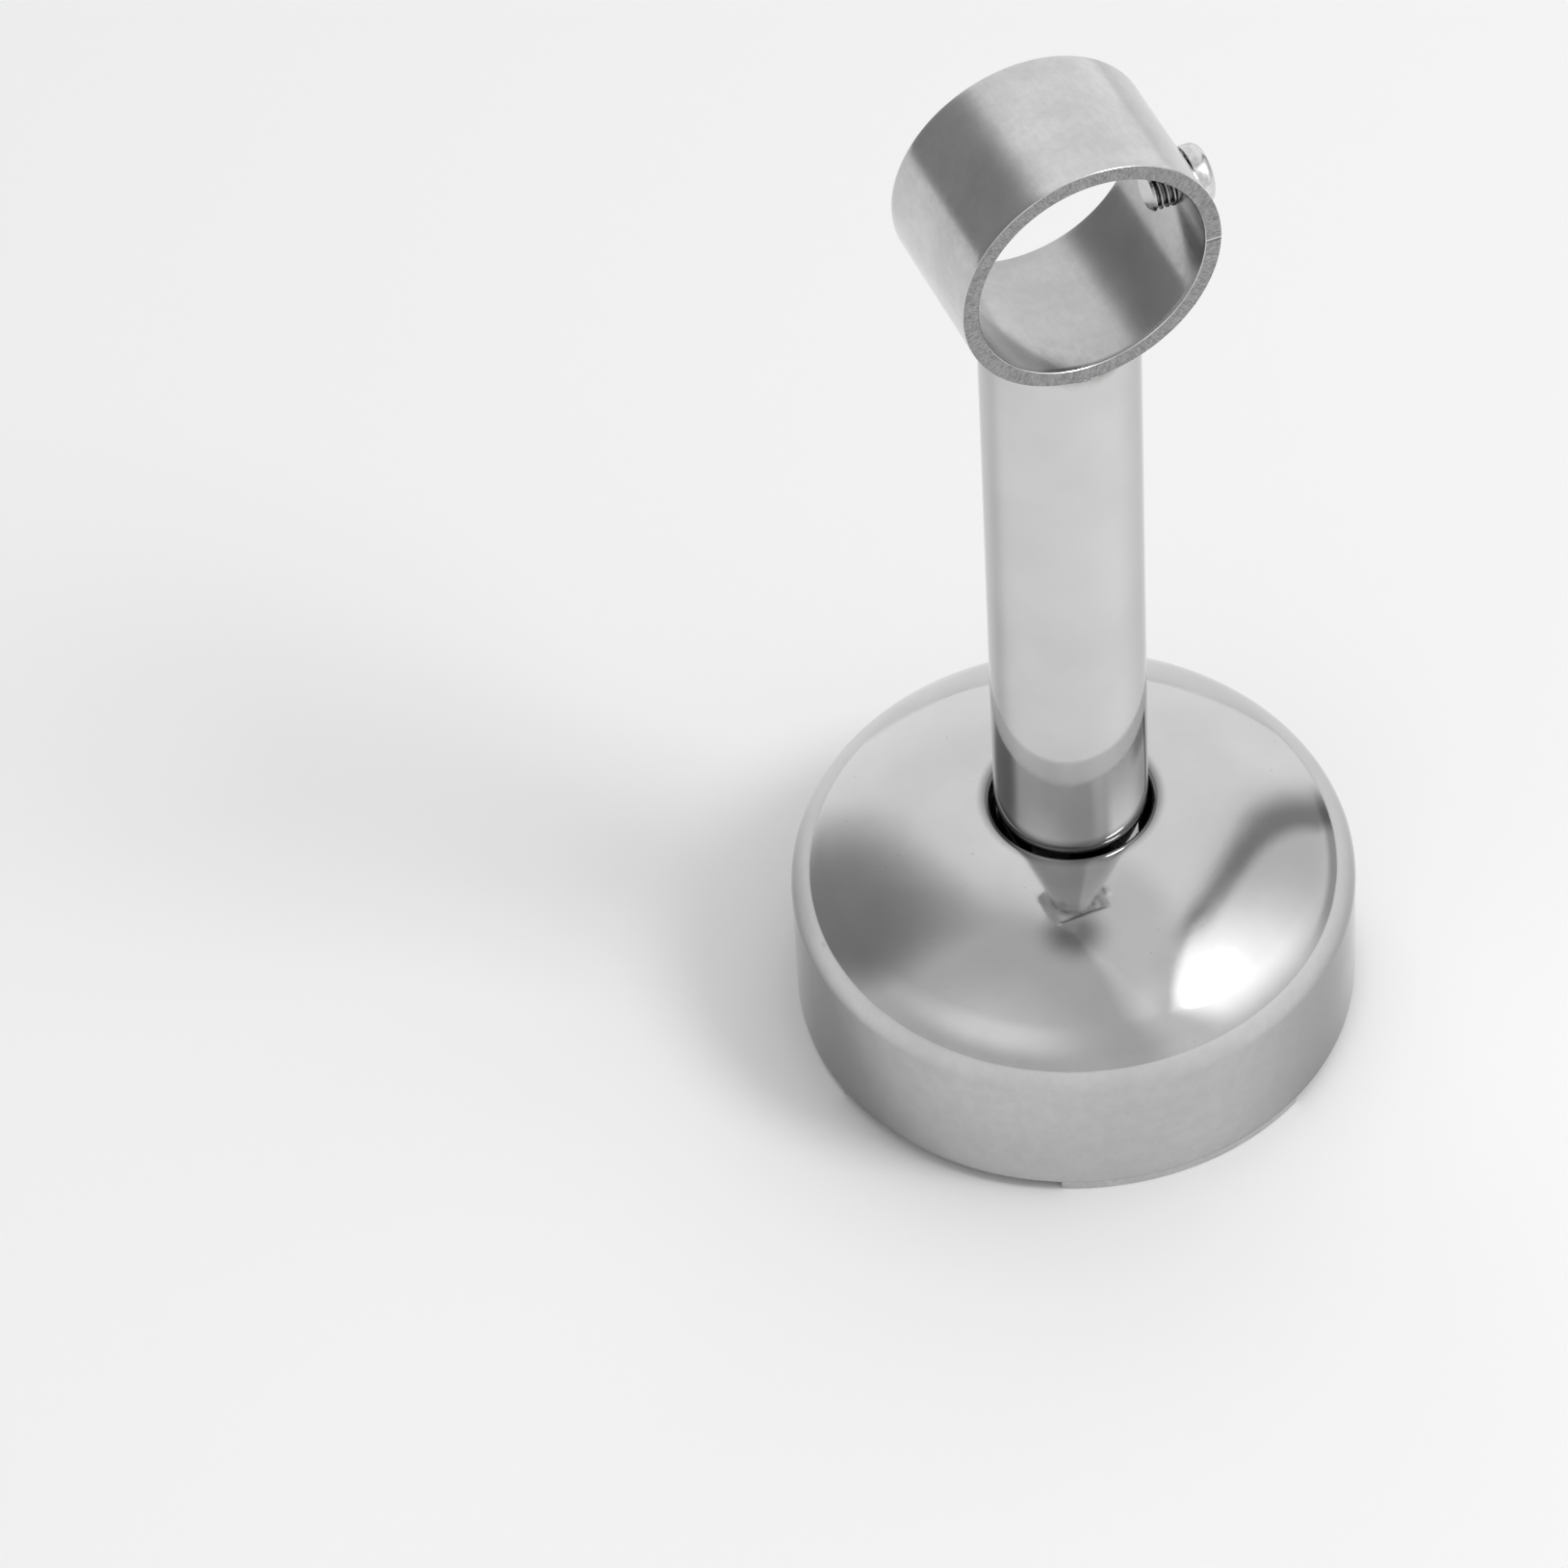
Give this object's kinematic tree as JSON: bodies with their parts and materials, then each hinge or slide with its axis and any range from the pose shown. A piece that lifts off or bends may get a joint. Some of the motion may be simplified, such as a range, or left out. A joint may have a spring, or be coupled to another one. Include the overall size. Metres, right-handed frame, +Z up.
{
  "type": "rail support stanchion base",
  "caption": "Tubular stainless post on a round slotted base plate, with a slide-down cover and a welded top ring that a clamp screw locks onto a rail.",
  "frame": {"origin": "on the post's axis in the base plate's mounting face", "axes": "+Z up the post, Y along the rail through the ring, +X towards the clamp screw's head"},
  "size_m": [0.07, 0.07, 0.148],
  "materials": {
    "ring_steel": "satin-polished stainless tube with sawn ends",
    "post_steel": "mirror-polished stainless tube",
    "weld_steel": "heat-tinted weld bead",
    "plate_steel": "tumbled matte pressed sheet",
    "cover_steel": "polished spun stainless sheet",
    "screw_steel": "bright plated"
  },
  "bodies": {
    "bracket": {"ring_collar": "ring_steel", "post_tube": "post_steel", "ring_weld": "weld_steel", "base_plate": "plate_steel", "plate_weld": "weld_steel"},
    "cover": {"cover": "cover_steel"},
    "screw": {"clamp_screw": "screw_steel"}
  },
  "joints": [
    {"name": "cover_slide", "type": "slide", "parent": "bracket", "child": "cover", "axis": [0, 0, 1], "range_m": [0, 0.08]},
    {"name": "clamp_screw_travel", "type": "slide", "parent": "bracket", "child": "screw", "axis": [1, 0, 0], "range_m": [0, 0.0034]}
  ]
}
